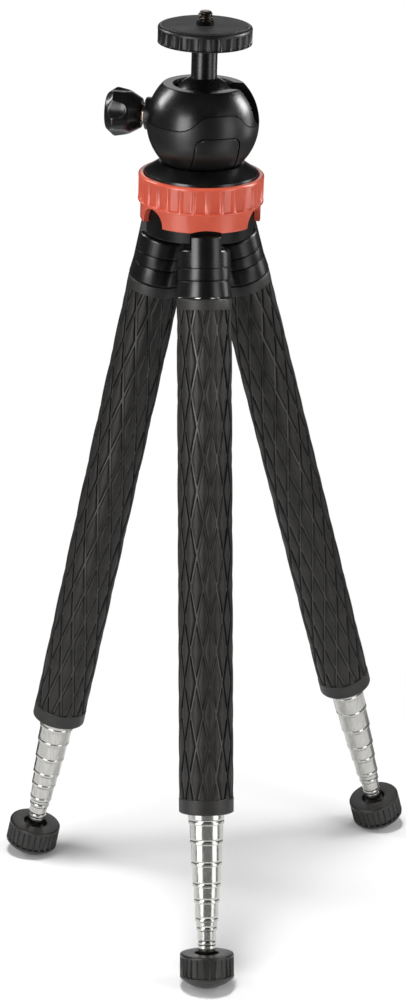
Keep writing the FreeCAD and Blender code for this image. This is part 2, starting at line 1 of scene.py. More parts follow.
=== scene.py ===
import json
import math
import bpy
from mathutils import Matrix, Vector


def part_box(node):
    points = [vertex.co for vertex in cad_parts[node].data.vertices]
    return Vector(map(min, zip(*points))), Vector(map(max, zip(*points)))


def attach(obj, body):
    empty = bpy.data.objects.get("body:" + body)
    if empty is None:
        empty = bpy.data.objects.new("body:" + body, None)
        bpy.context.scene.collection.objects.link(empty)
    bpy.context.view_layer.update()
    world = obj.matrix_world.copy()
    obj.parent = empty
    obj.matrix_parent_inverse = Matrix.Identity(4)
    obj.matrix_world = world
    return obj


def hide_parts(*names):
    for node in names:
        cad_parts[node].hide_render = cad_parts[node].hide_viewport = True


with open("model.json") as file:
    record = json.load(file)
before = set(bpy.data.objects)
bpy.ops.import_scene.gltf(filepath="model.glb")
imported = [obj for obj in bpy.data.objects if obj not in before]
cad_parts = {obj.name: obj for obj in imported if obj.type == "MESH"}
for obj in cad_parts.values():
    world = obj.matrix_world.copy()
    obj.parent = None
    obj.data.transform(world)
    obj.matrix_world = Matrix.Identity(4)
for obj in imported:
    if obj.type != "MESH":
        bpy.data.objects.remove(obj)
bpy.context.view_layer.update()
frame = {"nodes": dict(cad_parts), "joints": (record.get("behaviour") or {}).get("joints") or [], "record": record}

# Metres, in the part's own frame: +Z up, the floor at z = 0, the front leg towards -Y

mm = 0.001
fine = 0.001 * mm                       # points nearer than this are one
skin = 0.03                             # millimetres that a piece stands proud of the solid under it
rib_sides = 12                          # sides of a turned piece to each of its ribs
LEGS = ("front", "right", "left")
SECTIONS = range(1, 8)

# Camera, measured about the head's axis

camera_yaw = math.radians(6.91)         # the camera stands this far to the left of the front leg
camera_rise = math.radians(20.36)
camera_roll = math.radians(1.61)
camera_distance = 1.5927
camera_aim_height = 0.1868
camera_aim_side = 0.0046
camera_lens = 130.5                     # on a long side of 36 mm
world_light = 0.22

# Grips and tubes, in millimetres

diamond_columns = 12
diamond_rows = 15.3                     # half diamonds from end to end of a grip
diamond_steps = (                       # width and rise of each step, from the groove inwards
    (0.36, 0.0),
    (0.14, 0.40),
    (0.40, 0.32),
    (1.00, 0.18),
)
row_pairs = 9                           # enough of them to reach past both ends of a grip
rows_to_crossing = 15                   # half diamonds from the lowest row up to the first crossing
groove_radius = 10.85
first_crossing = 8.3                    # from the band down to the first crossing of the grooves
grip_turn = math.radians(-5)
grip_twist = math.radians(10)
band_radius = 11.75
band_length = 4.8
tube_radius = 7.73
tube_wall = 0.45
grip_bore = tube_radius + 0.1
stub_pitch = 0.8

# Feet, ring, wheel, plate and knuckles, in millimetres

foot_radius = 11.7
foot_side = 10.5                        # height of its ribbed side
foot_dome = 4.7                         # how far its sole bulges
foot_well = 5.2                         # radius of the well round its stub
foot_ribs = 24
foot_rib_depth = 0.85
ring_radius = 26.8
ring_top = 18.7                         # above the pins
ring_ribs = 28
ring_rib_depth = 1.0
shallow_arch = (18.96, 0.2)             # radius, and height of the top above the pins
deep_arch = (6.7, 6.2)
wheel_radius = 20.0
wheel_ribs = 28
wheel_rib_depth = 0.7
wheel_hollow = 0.22                     # how much deeper a flat of the wheel is in its middle
stud_radius = 3.175
stud_pitch = 1.27
plate_bore = 3.2
plate_rim = (2.25, 3.4)                 # heights above its underside where its edge is polished
knuckle_radius = 11.2
knuckle_grooves = (18.4, 23.8)          # from the pin down

# Housing, panel and knob, in millimetres and degrees, heights counted from the housing's underside

housing_radius = 23.9
housing_centre = 16.9
slot_azimuth = 74                       # from the front leg round to the drop slot
slot_bore = (6.15, 23.3)                # radius and height of its round end
nut_bore = (7.1, 19.0)
wave_azimuth = 13
wave_height = 6.9
wave_crest = 7.5                        # from the wave's middle to the end of its crest
wave_foot = 14                          # and to the foot of its slope
wave_round = 9
seam_height = 17.7                      # of the lower half's edge beside the wave
seam_width = 0.5
seam_depth = 0.3
half_gap = 0.12                         # about half of the gap between the two halves
panel_share = 0.972                     # size of the panel, as a share of its recess
knob_voxel = 0.3

# Materials and stage

cloud_range = (0.3, 0.7)                # where nearly all values of a noise lie
white_floor = (0.12, 0.24)              # metres from the middle where the floor turns plain white


# Places taken from the frame

def joint(name):
    """The record's entry for one joint."""
    return next(entry for entry in frame["joints"] if entry["name"] == name)


def leg_place(leg):
    """Place of a leg, for pieces made with the hinge pin at the origin and the leg along -Z."""
    pin = Vector(joint(leg + "_leg_spread")["pos_m"])
    side = -Vector(joint(leg + "_leg_spread")["axis"])
    up = -Vector(joint(leg + "_section_1_slide")["axis"])
    back = up.cross(side)
    return Matrix.Translation(pin) @ Matrix((side, back, up)).transposed().to_4x4()


def head_place():
    """Matrix of the head's axis, with the height left at the floor."""
    spot = Vector(joint("head_turn")["pos_m"])
    return Matrix.Translation(Vector((spot.x, spot.y, 0)))


def spots(node, place):
    """A node's vertices, in millimetres, as a place's own axes see them."""
    inverse = place.inverted()
    return [inverse @ vertex.co / mm for vertex in frame["nodes"][node].data.vertices]


def heights(node, place):
    """Lowest and highest point of a node along the upright axis of a place."""
    ups = [spot.z for spot in spots(node, place)]
    return min(ups), max(ups)


def reach(node, place):
    """Largest radius of a node about the upright axis of a place."""
    return max(math.hypot(spot.x, spot.y) for spot in spots(node, place))


def reach_at(node, place, height):
    """Largest radius of a node at one height of a place."""
    level = [spot for spot in spots(node, place) if abs(spot.z - height) < 0.05]
    return max(math.hypot(spot.x, spot.y) for spot in level)


# Making and finishing pieces

def deselect():
    """Leave object mode's selection empty."""
    bpy.ops.object.select_all(action="DESELECT")


def pick(piece):
    """Make one piece the only one selected and the active one."""
    deselect()
    piece.select_set(True)
    bpy.context.view_layer.objects.active = piece


def named(name):
    """Give the piece that was just added its name."""
    piece = bpy.context.object
    piece.name = name
    piece.data.name = name
    return piece


def apply_place(piece):
    """Put the piece's place into its mesh."""
    pick(piece)
    bpy.ops.object.transform_apply(location=True, rotation=True, scale=True)
    return piece


def put(piece, place):
    """Move a finished piece by a matrix and put that into its mesh."""
    piece.matrix_world = place @ piece.matrix_world
    return apply_place(piece)


def apply_modifier(piece, kind, **settings):
    """Add one modifier with its settings and apply it."""
    pick(piece)
    modifier = piece.modifiers.new(kind.lower(), kind)
    for key, value in settings.items():
        setattr(modifier, key, value)
    bpy.ops.object.modifier_apply(modifier=modifier.name)
    return piece


def copy_of(piece, name):
    """A copy of a piece with a mesh of its own."""
    pick(piece)
    bpy.ops.object.duplicate()
    return named(name)


def scrap(piece):
    """Delete a pattern piece or cutter that has done its work."""
    bpy.data.objects.remove(piece)


def smooth(piece, angle=30):
    """Smooth shading, with edges sharper than the angle kept."""
    pick(piece)
    bpy.ops.object.shade_smooth_by_angle(angle=math.radians(angle))
    return piece


def dress(piece, finish, body, slot, *nodes):
    """Give a piece its material and body, and hide the nodes that it stands for; the slot is not used."""
    piece.data.materials.clear()
    piece.data.materials.append(finishes[finish])
    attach(piece, body)
    if nodes:
        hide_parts(*nodes)


# Profiles and turned pieces, their points in millimetres

def soften(points):
    """Profile with a short arc in place of each corner that gives a third value, its round."""
    path = []
    for place, point in enumerate(points):
        here = Vector(point[:2])
        if len(point) == 2:
            path.append(here)
            continue
        back = (Vector(points[place - 1][:2]) - here).normalized()
        ahead = (Vector(points[(place + 1) % len(points)][:2]) - here).normalized()
        half = back.angle(ahead) / 2
        centre = here + (back + ahead).normalized() * (point[2] / math.sin(half))
        start = here + back * (point[2] / math.tan(half)) - centre
        end = here + ahead * (point[2] / math.tan(half)) - centre
        for step in range(5):
            path.append(centre + start.slerp(end, step / 4).normalized() * point[2])
    return path


def chain(name, points):
    """Open chain of edges through (radius, height) points, left in edit mode."""
    path = [Vector((point[0], 0, point[1])) * mm for point in points]
    deselect()
    bpy.ops.mesh.primitive_plane_add(size=mm)
    piece = named(name)
    bpy.ops.object.mode_set(mode="EDIT")
    bpy.ops.mesh.select_mode(type="VERT")
    bpy.ops.mesh.select_all(action="SELECT")
    bpy.ops.mesh.merge(type="CENTER")
    bpy.ops.transform.translate(value=path[0])
    for here, ahead in zip(path, path[1:]):
        bpy.ops.mesh.extrude_vertices_move(TRANSFORM_OT_translate={"value": ahead - here})
    return piece


def close_up():
    """Merge what meets, point all faces outwards and leave edit mode."""
    bpy.ops.mesh.select_all(action="SELECT")
    bpy.ops.mesh.remove_doubles(threshold=fine)
    bpy.ops.mesh.normals_make_consistent(inside=False)
    bpy.ops.object.mode_set(mode="OBJECT")


def turned(name, points, sides=96):
    """Piece turned about Z from a closed profile, or from one that starts and ends on the axis."""
    path = soften(points)
    if points[0][0] > 0:
        path.append(path[0])
    piece = chain(name, path)
    bpy.ops.mesh.select_all(action="SELECT")
    bpy.ops.mesh.spin(steps=sides, angle=2 * math.pi, center=(0, 0, 0), axis=(0, 0, 1))
    close_up()
    return piece


def pick_vertices(piece, wanted):
    """Select the vertices whose place passes a test, and enter edit mode."""
    pick(piece)
    bpy.ops.object.mode_set(mode="EDIT")
    bpy.ops.mesh.select_mode(type="VERT")
    bpy.ops.mesh.select_all(action="DESELECT")
    bpy.ops.object.mode_set(mode="OBJECT")
    for vertex in piece.data.vertices:
        vertex.select = wanted(vertex.co)
    bpy.ops.object.mode_set(mode="EDIT")


def press_flats(piece, ribs, radius, depth, low, high, hollow=0):
    """Press a flat between each two ridges of a turned piece, deeper in its middle by the hollow."""
    step = 2 * math.pi / ribs / rib_sides
    flat = (radius - depth) * math.cos(4 * step)
    press_columns(piece, step, (1, 11), (radius - 0.3 * depth) / radius, radius, low, high)
    for near, far in ((2, 10), (3, 9), (4, 8), (5, 7), (6, 6)):
        turn = (far - near) / 2 * step
        dip = hollow * (1 - ((far - near) / 8)**2)
        share = (flat / math.cos(turn) - dip) / radius
        press_columns(piece, step, (near, far), share, radius, low, high)


def press_columns(piece, step, columns, share, radius, low, high):
    """Bring some of each rib's upright lines of points nearer to the axis."""
    def pressed(spot):
        place = round(math.atan2(spot.y, spot.x) / step) % rib_sides
        inside = low * mm < spot.z < high * mm
        return inside and place in columns and math.hypot(spot.x, spot.y) > (radius - 0.2) * mm

    pick_vertices(piece, pressed)
    bpy.ops.transform.resize(value=(share, share, 1), center_override=(0, 0, 0))
    bpy.ops.object.mode_set(mode="OBJECT")


def threaded(name, radius, pitch, low, high):
    """Screw thread about Z with its ends cut square."""
    depth = 0.55 * pitch
    turns = math.ceil((high - low) / pitch) + 1
    piece = chain(name, [
        (radius - depth, 0),
        (radius, 0.38 * pitch),
        (radius, 0.55 * pitch),
        (radius - depth, 0.93 * pitch),
        (radius - depth, pitch),
    ])
    bpy.ops.object.mode_set(mode="OBJECT")
    apply_modifier(piece, "SCREW", angle=2 * math.pi, screw_offset=pitch * mm, iterations=turns,
                   steps=32, render_steps=32, use_merge_vertices=True, merge_threshold=fine)
    piece.location.z = (low - pitch) * mm
    apply_place(piece)
    bpy.ops.object.mode_set(mode="EDIT")
    for height, below in ((low, True), (high, False)):
        bpy.ops.mesh.select_all(action="SELECT")
        bpy.ops.mesh.bisect(plane_co=(0, 0, height * mm), plane_no=(0, 0, 1), use_fill=True,
                            clear_inner=below, clear_outer=not below, threshold=fine)
    close_up()
    return piece


# Cutters

def cut(piece, cutter, operation):
    """Take a cutter away from a piece, or keep only what lies inside it, and delete the cutter."""
    apply_modifier(piece, "BOOLEAN", operation=operation, object=cutter)
    scrap(cutter)
    bpy.ops.object.mode_set(mode="EDIT")
    bpy.ops.mesh.select_all(action="SELECT")
    bpy.ops.mesh.dissolve_degenerate(threshold=fine)
    close_up()


def arch(piece, azimuth, size, base):
    """Cut an arch through one side of a piece: its radius, and its top's height above the base."""
    radius, top = size
    deselect()
    bpy.ops.mesh.primitive_cylinder_add(vertices=96, radius=radius * mm, depth=24 * mm,
                                        rotation=(math.pi / 2, 0, 0))
    cutter = named("arch_cutter")
    apply_place(cutter)
    cutter.location = (0, -26 * mm, (top - radius) * mm)
    apply_place(cutter)
    turn = Matrix.Rotation(math.radians(azimuth), 4, "Z")
    put(cutter, head_place() @ Matrix.Translation((0, 0, base * mm)) @ turn)
    cut(piece, cutter, "DIFFERENCE")


# Materials

def new_material(name):
    """An empty node material with its shader and output."""
    material = bpy.data.materials.new(name)
    material.use_nodes = True
    nodes = material.node_tree.nodes
    return material, nodes, material.node_tree.links, nodes["Principled BSDF"]


def grain(nodes, links, scale, detail=3.0):
    """Noise on the object's own coordinates."""
    place = nodes.new("ShaderNodeTexCoord")
    noise = nodes.new("ShaderNodeTexNoise")
    noise.inputs["Scale"].default_value = scale
    noise.inputs["Detail"].default_value = detail
    links.new(place.outputs["Object"], noise.inputs["Vector"])
    return noise


def spread(nodes, links, source, low, high):
    """Turn a noise's value into one from low to high."""
    span = nodes.new("ShaderNodeMapRange")
    span.inputs["From Min"].default_value = cloud_range[0]
    span.inputs["From Max"].default_value = cloud_range[1]
    span.inputs["To Min"].default_value = low
    span.inputs["To Max"].default_value = high
    links.new(source, span.inputs["Value"])
    return span.outputs["Result"]


def tint(nodes, links, source, dark, light):
    """Blend two colours by a noise's value."""
    ramp = nodes.new("ShaderNodeValToRGB")
    ramp.color_ramp.elements[0].position = cloud_range[0]
    ramp.color_ramp.elements[0].color = (*dark, 1)
    ramp.color_ramp.elements[1].position = cloud_range[1]
    ramp.color_ramp.elements[1].color = (*light, 1)
    links.new(source, ramp.inputs["Fac"])
    return ramp.outputs["Color"]


def bump(nodes, links, source, shader, depth, strength=1.0):
    """Fine relief from a value."""
    relief = nodes.new("ShaderNodeBump")
    relief.inputs["Distance"].default_value = depth
    relief.inputs["Strength"].default_value = strength
    links.new(source, relief.inputs["Height"])
    links.new(relief.outputs["Normal"], shader.inputs["Normal"])


def moulded(name, dark, light, rough, grain_scale, grain_depth, specular):
    """Plastic, rubber or paint: a slightly uneven colour, an uneven gloss and a fine grain."""
    material, nodes, links, shader = new_material(name)
    cloud = grain(nodes, links, 90)
    links.new(tint(nodes, links, cloud.outputs["Fac"], dark, light), shader.inputs["Base Color"])
    links.new(spread(nodes, links, cloud.outputs["Fac"], *rough), shader.inputs["Roughness"])
    texture = grain(nodes, links, grain_scale, 2.0)
    bump(nodes, links, texture.outputs["Fac"], shader, grain_depth * mm, 0.6)
    shader.inputs["Specular IOR Level"].default_value = specular
    return material


def relief_rubber():
    """Grip rubber: smooth in the grooves and lightened there by a painted highlight, darkened by painted shade on
    the diamonds' flanks, matte and grained on top.
    """
    material, nodes, links, shader = new_material("grip_rubber")
    relief = nodes.new("ShaderNodeAttribute")
    relief.attribute_name = "relief"
    cloud = grain(nodes, links, 160)
    top = tint(nodes, links, cloud.outputs["Fac"], (0.0125, 0.0115, 0.0108), (0.0210, 0.0193, 0.0181))
    # Colour's factor: 2.6 at the bottom of a groove, a painted highlight; 0.2 on the flanks, painted shade; 1 on
    # top
    painted_light_ramp = nodes.new("ShaderNodeValToRGB")
    painted_light_ramp.color_ramp.elements[0].color = (2.6, 2.6, 2.6, 1)
    painted_light_ramp.color_ramp.elements[1].color = (1, 1, 1, 1)
    painted_light_ramp.color_ramp.elements[1].position = 0.85
    painted_light_ramp.color_ramp.elements.new(0.12).color = (0.2, 0.2, 0.2, 1)
    painted_light_ramp.color_ramp.elements.new(0.5).color = (0.2, 0.2, 0.2, 1)
    links.new(relief.outputs["Fac"], painted_light_ramp.inputs["Fac"])
    colour = nodes.new("ShaderNodeMix")
    colour.data_type = "RGBA"
    colour.blend_type = "MULTIPLY"
    colour.inputs[0].default_value = 1.0
    links.new(top, colour.inputs[6])
    links.new(painted_light_ramp.outputs["Color"], colour.inputs[7])
    links.new(colour.outputs[2], shader.inputs["Base Color"])
    gloss = nodes.new("ShaderNodeMapRange")
    gloss.inputs["From Max"].default_value = 0.5
    gloss.inputs["To Min"].default_value = 0.30
    gloss.inputs["To Max"].default_value = 0.50
    links.new(relief.outputs["Fac"], gloss.inputs["Value"])
    links.new(gloss.outputs["Result"], shader.inputs["Roughness"])
    fine_grain = grain(nodes, links, 1400, 2.0)
    depth = nodes.new("ShaderNodeMath")
    depth.operation = "MULTIPLY"
    links.new(fine_grain.outputs["Fac"], depth.inputs[0])
    links.new(relief.outputs["Fac"], depth.inputs[1])
    bump(nodes, links, depth.outputs[0], shader, 0.09 * mm, 0.8)
    shader.inputs["Specular IOR Level"].default_value = 0.32
    return material


def metal(name, dark, light, rough, wear_scale, wear_depth):
    """Bare metal with fine wear in its colour and gloss."""
    material, nodes, links, shader = new_material(name)
    cloud = grain(nodes, links, wear_scale)
    links.new(tint(nodes, links, cloud.outputs["Fac"], dark, light), shader.inputs["Base Color"])
    links.new(spread(nodes, links, cloud.outputs["Fac"], *rough), shader.inputs["Roughness"])
    bump(nodes, links, cloud.outputs["Fac"], shader, wear_depth * mm, 0.5)
    shader.inputs["Metallic"].default_value = 1.0
    return material


def brushed(name, dark, light, rough):
    """Drawn tube: fine scratches that run along a leg, in the colour, the gloss and the relief."""
    material, nodes, links, shader = new_material(name)
    place = nodes.new("ShaderNodeTexCoord")
    along = nodes.new("ShaderNodeMapping")
    along.inputs["Scale"].default_value = (1, 1, 0.06)
    links.new(place.outputs["Object"], along.inputs["Vector"])
    noise = nodes.new("ShaderNodeTexNoise")
    noise.inputs["Scale"].default_value = 1500
    noise.inputs["Detail"].default_value = 2.0
    links.new(along.outputs["Vector"], noise.inputs["Vector"])
    links.new(tint(nodes, links, noise.outputs["Fac"], dark, light), shader.inputs["Base Color"])
    links.new(spread(nodes, links, noise.outputs["Fac"], *rough), shader.inputs["Roughness"])
    bump(nodes, links, noise.outputs["Fac"], shader, 0.012 * mm, 0.5)
    shader.inputs["Metallic"].default_value = 1.0
    return material


def grey(value):
    """A neutral colour."""
    return (value, value, value)


# Dark and light colour, roughness from and to, scale and depth of the grain, specular level

MOULDED = {
    "satin_black_alloy": (grey(0.0035), grey(0.0055), (0.24, 0.30), 2600, 0.012, 0.42),
    "gloss_black_plastic": (grey(0.004), grey(0.006), (0.21, 0.29), 1800, 0.006, 0.5),
    "grained_black_alloy": (grey(0.0045), grey(0.0070), (0.33, 0.40), 2600, 0.020, 0.42),
    "black_plastic": (grey(0.006), grey(0.009), (0.30, 0.40), 2600, 0.02, 0.45),
    # A darker, less glossy copy of the satin black; on the hub it is painted shade
    "shaded_black_alloy": (grey(0.003), grey(0.005), (0.30, 0.38), 2600, 0.012, 0.2),
    "ribbed_black_alloy": (grey(0.0055), grey(0.0090), (0.34, 0.42), 2600, 0.015, 0.36),
    # Nearly black and matte: painted shade, for the seam of the housing and the collar of the stud
    "painted_shade_black": (grey(0.0006), grey(0.0010), (0.70, 0.80), 2600, 0.012, 0.1),
    "coral_red_plastic": (
        (0.57, 0.090, 0.050), (0.62, 0.103, 0.058), (0.20, 0.27), 2200, 0.006, 0.5),
    "black_rubber": (
        (0.013, 0.0122, 0.0115), (0.022, 0.0205, 0.0195), (0.42, 0.54), 1500, 0.05, 0.45),
    "foot_rubber": (
        (0.010, 0.0092, 0.0086), (0.017, 0.0155, 0.0145), (0.30, 0.40), 1500, 0.04, 0.5),
    "pad_rubber": (grey(0.018), grey(0.025), (0.55, 0.68), 1900, 0.05, 0.4),
    "white_nylon": (grey(0.62), grey(0.70), (0.42, 0.52), 1500, 0.02, 0.45),
}

# Dark and light colour, roughness from and to, scale and depth of the wear

METALS = {
    "steel": ((0.42, 0.41, 0.40), (0.56, 0.55, 0.53), (0.22, 0.34), 500, 0.006),
    "dark_steel": ((0.09, 0.078, 0.066), (0.17, 0.145, 0.12), (0.22, 0.34), 700, 0.006),
    "brass": ((0.52, 0.42, 0.33), (0.66, 0.55, 0.45), (0.20, 0.30), 500, 0.006),
}

finishes = {name: moulded(name, *values) for name, values in MOULDED.items()}
finishes.update((name, metal(name, *values)) for name, values in METALS.items())
finishes["grip_rubber"] = relief_rubber()
finishes["bright_aluminium"] = brushed(
    "bright_aluminium", (0.45, 0.445, 0.427), (0.58, 0.575, 0.55), (0.16, 0.26))


def finish_nodes():
    """Give every node of the frame the material of its slot."""
    for part in frame["record"]["subparts"]:
        materials = frame["nodes"][part["node"]].data.materials
        materials.clear()
        materials.append(finishes[part["material_slot"]])


# Grips, made with the hinge pin at the origin and the leg along -Z

def grip_relief(low, high):
    """Sleeve of raised diamonds between flat grooves, staggered by half a diamond from row to row."""
    half_wide = math.pi * groove_radius / diamond_columns
    half_tall = (high - low) / diamond_rows
    deselect()
    bpy.ops.mesh.primitive_circle_add(vertices=4, radius=1, fill_type="NGON",
                                      rotation=(math.pi / 2, 0, 0))
    sleeve = named("grip_relief")
    sleeve.scale = (half_wide * mm, half_tall * mm, 1)
    apply_place(sleeve)
    bpy.ops.object.mode_set(mode="EDIT")
    bpy.ops.mesh.select_mode(type="FACE")
    bpy.ops.mesh.select_all(action="SELECT")
    for width, rise in diamond_steps:
        bpy.ops.mesh.inset(thickness=width * mm, depth=rise * mm)
    bpy.ops.mesh.select_all(action="SELECT")
    bpy.ops.mesh.subdivide(number_cuts=1)
    bpy.ops.mesh.duplicate_move(TRANSFORM_OT_translate={"value": (half_wide * mm, 0, half_tall * mm)})
    bpy.ops.object.mode_set(mode="OBJECT")
    apply_modifier(sleeve, "ARRAY", use_relative_offset=False, use_constant_offset=True,
                   constant_offset_displace=(2 * half_wide * mm, 0, 0), count=diamond_columns)
    apply_modifier(sleeve, "ARRAY", use_relative_offset=False, use_constant_offset=True,
                   constant_offset_displace=(0, 0, 2 * half_tall * mm), count=row_pairs)
    note_height(sleeve)
    whole_turn = 2 * math.pi * (diamond_columns + 0.5) / diamond_columns
    apply_modifier(sleeve, "SIMPLE_DEFORM", deform_method="BEND", deform_axis="Z", angle=whole_turn)
    lowest = high - first_crossing - rows_to_crossing * half_tall
    sleeve.location = (0, -groove_radius * mm, lowest * mm)
    apply_place(sleeve)
    bpy.ops.object.mode_set(mode="EDIT")
    close_up()
    apply_modifier(sleeve, "SIMPLE_DEFORM", deform_method="TWIST", deform_axis="Z", angle=grip_twist)
    sleeve.rotation_euler.z = grip_turn
    apply_place(sleeve)
    bpy.ops.object.mode_set(mode="EDIT")
    for height, below in ((low, True), (high, False)):
        bpy.ops.mesh.select_all(action="SELECT")
        bpy.ops.mesh.bisect(plane_co=(0, 0, height * mm), plane_no=(0, 0, 1),
                            clear_inner=below, clear_outer=not below, threshold=fine)
    bpy.ops.mesh.select_mode(type="EDGE")
    bpy.ops.mesh.select_all(action="DESELECT")
    bpy.ops.mesh.select_non_manifold()
    bpy.ops.mesh.extrude_edges_move()
    inward = grip_bore / groove_radius
    bpy.ops.transform.resize(value=(inward, inward, 1), center_override=(0, 0, 0))
    bpy.ops.mesh.bridge_edge_loops()
    close_up()
    return smooth(sleeve, 35)


def note_height(sleeve):
    """Keep how far each point stands above the grooves as the attribute that the rubber reads."""
    top = sum(step[1] for step in diamond_steps) * mm
    relief = sleeve.data.attributes.new("relief", "FLOAT", "POINT")
    for vertex, entry in zip(sleeve.data.vertices, relief.data):
        entry.value = min(1, -vertex.co.y / top)


def grip_band(low, high):
    """Smooth band at the top of a grip, with rounded edges."""
    return smooth(turned("grip_band", [
        (grip_bore, low),
        (band_radius, low, 0.25),
        (band_radius, high, 0.7),
        (grip_bore, high),
    ]))


def make_grips():
    """The three grips, each a relief sleeve and its band."""
    low, high = heights("front_grip", leg_place("front"))
    sleeve = grip_relief(low, high - band_length)
    band = grip_band(high - band_length, high)
    for leg in LEGS:
        relief = put(copy_of(sleeve, leg + "_grip_relief"), leg_place(leg))
        dress(relief, "grip_rubber", leg + "_leg", "black_rubber", leg + "_grip")
        top = put(copy_of(band, leg + "_grip_band"), leg_place(leg))
        dress(top, "black_rubber", leg + "_leg", "black_rubber")
    scrap(sleeve)
    scrap(band)


# Tubes, stubs and feet

def tube(node, leg):
    """Drawn tube with a swaged groove and a rolled lip near its lower end."""
    place = leg_place(leg)
    low, high = heights(node, place)
    radius = reach(node, place)
    bore = radius - tube_wall
    piece = smooth(turned(node + "_tube", [
        (bore, high),
        (radius, high),
        (radius, low + 2.6, 0.4),
        (radius - 0.10, low + 2.2),
        (radius - 0.24, low + 1.9, 0.1),
        (radius - 0.10, low + 1.6),
        (radius, low + 1.3, 0.1),
        (radius, low + 0.45, 0.25),
        (radius - 0.25, low, 0.1),
        (bore, low),
    ], 64), 40)
    return put(piece, place)


def make_tubes():
    """The outer tube and the seven sections of each leg."""
    for leg in LEGS:
        outer = leg + "_outer_tube"
        dress(tube(outer, leg), "bright_aluminium", leg + "_leg", "bright_aluminium", outer)
        for number in SECTIONS:
            section = "%s_section_%d" % (leg, number)
            dress(tube(section, leg), "bright_aluminium", section, "bright_aluminium", section)


def make_feet():
    """The three ribbed feet, each with its domed sole pressed flat where it stands."""
    for leg in LEGS:
        place = leg_place(leg)
        top = heights(leg + "_foot", place)[1]
        sole = top - foot_side
        sphere = (foot_radius**2 + foot_dome**2) / (2 * foot_dome)
        dome = [(0, sole - foot_dome)]
        for step in range(1, 8):
            out = foot_radius * step / 8
            dome.append((out, sole - foot_dome + sphere - math.sqrt(sphere**2 - out**2)))
        foot = turned(leg + "_foot_rubber", dome + [
            (foot_radius, sole, 0.5),
            (foot_radius, sole + 0.9),
            (foot_radius, sole + 1.2),
            (foot_radius, top - 1.5),
            (foot_radius, top - 1.3),
            (foot_radius, top, 0.9),
            (foot_well, top, 0.4),
            (foot_well, top - 2),
            (0, top - 2),
        ], rib_sides * foot_ribs)
        press_flats(foot, foot_ribs, foot_radius, foot_rib_depth, sole + 1, top - 1.4)
        put(smooth(foot, 40), place)
        bpy.ops.object.mode_set(mode="EDIT")
        bpy.ops.mesh.select_all(action="SELECT")
        bpy.ops.mesh.bisect(plane_co=(0, 0, 0.01 * mm), plane_no=(0, 0, 1), use_fill=True,
                            clear_inner=True, threshold=fine)
        bpy.ops.object.mode_set(mode="OBJECT")
        dress(foot, "foot_rubber", leg + "_foot", "black_rubber", leg + "_foot")


def make_stubs():
    """Threaded stub of each foot, with the tapered collar that it screws into."""
    for leg in LEGS:
        place = leg_place(leg)
        low, high = heights(leg + "_foot_stub", place)
        radius = reach(leg + "_foot_stub", place)
        bottom = heights(leg + "_section_7", place)[0]
        thread = threaded(leg + "_stub_thread", radius, stub_pitch, low, high)
        dress(put(smooth(thread, 25), place), "steel", leg + "_section_7", "steel", leg + "_foot_stub")
        collar = turned(leg + "_stub_collar", [
            (radius - 0.3, bottom - 4.6),
            (radius + 0.7, bottom - 4.6, 0.15),
            (radius + 1.3, bottom - 1.3, 0.2),
            (radius + 1.3, bottom - 0.06, 0.1),
            (radius - 0.3, bottom - 0.06),
        ], 64)
        dress(put(smooth(collar), place), "bright_aluminium", leg + "_section_7", "bright_aluminium")


# Spreader ring

def make_ring():
    """Ribbed ring with a shallow arch over each leg and a deep one between each two."""
    pins = joint("front_leg_spread")["pos_m"][2] / mm
    ring = turned("ring_ribs", [
        (23.2, -1.2),
        (25.7, -1.2, 0.5),
        (25.7, 6.5, 0.3),
        (ring_radius, 6.9, 0.3),
        (ring_radius, 7.4),
        (ring_radius, 7.8),
        (ring_radius, 17.0),
        (ring_radius, 17.3),
        (ring_radius, ring_top, 0.9),
        (24.6, ring_top, 0.4),
        (24.6, 16.0),
        (20.6, 16.0),
        (20.6, 9.3),
        (23.2, 9.3),
    ], rib_sides * ring_ribs)
    press_flats(ring, ring_ribs, ring_radius, ring_rib_depth, 7.6, 17.15)
    put(ring, head_place() @ Matrix.Translation((0, 0, pins * mm)))
    for leg in range(3):
        arch(ring, leg * 120, shallow_arch, pins)
        arch(ring, leg * 120 + 60, deep_arch, pins)
    smooth(ring, 64)
    dress(ring, "coral_red_plastic", "ring", "coral_red_plastic", "spreader_ring")


# Head, hub and knuckles

def make_panel():
    """The inset panel, a little smaller than its recess so that a dark groove runs round it."""
    panel = copy_of(frame["nodes"]["front_panel"], "panel_inset")
    bpy.ops.object.mode_set(mode="EDIT")
    bpy.ops.mesh.select_all(action="SELECT")
    bpy.ops.mesh.remove_doubles(threshold=fine)
    low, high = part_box("front_panel")
    bpy.ops.transform.resize(value=(panel_share, panel_share, panel_share),
                             center_override=(Vector(low) + Vector(high)) / 2)
    bpy.ops.object.mode_set(mode="OBJECT")
    dress(smooth(panel, 40), "grained_black_alloy", "head", "satin_black_alloy", "front_panel")


